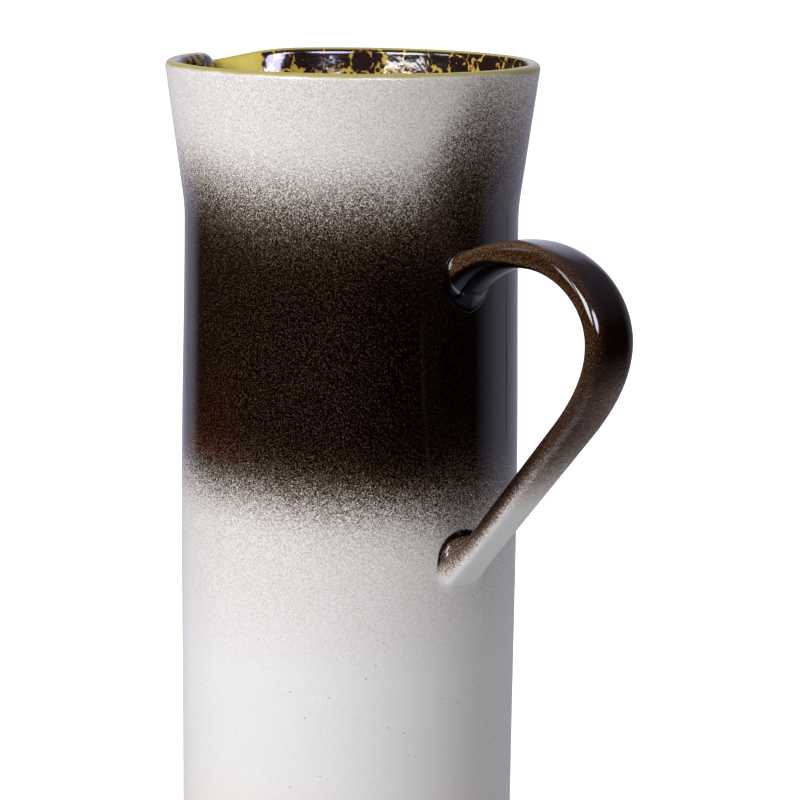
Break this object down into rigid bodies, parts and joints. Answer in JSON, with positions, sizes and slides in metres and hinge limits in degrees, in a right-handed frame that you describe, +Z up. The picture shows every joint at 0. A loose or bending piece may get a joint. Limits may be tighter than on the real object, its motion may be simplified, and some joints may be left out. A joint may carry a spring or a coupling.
{
  "type": "jug",
  "caption": "Tall cylindrical stoneware jug with a flared collar, a pulled pouring spout and a looped strap handle, for holding and pouring liquids.",
  "frame": {"origin": "centre of the flat base, on the body's axis", "axes": "+Z up along the body's axis, +X towards the handle, -X towards the spout, +Y across the handle"},
  "size_m": [0.1857, 0.1156, 0.25],
  "materials": {
    "white_glaze": "satin white glaze with a sprayed brown band",
    "brown_glaze": "glossy brown glaze with golden specks",
    "pooled_glaze": "thick glossy dark glaze"
  },
  "bodies": {
    "root": {"jug_body": "white_glaze", "strap_handle": "brown_glaze", "upper_handle_joint": "pooled_glaze", "lower_handle_joint": "pooled_glaze"}
  },
  "joints": []
}
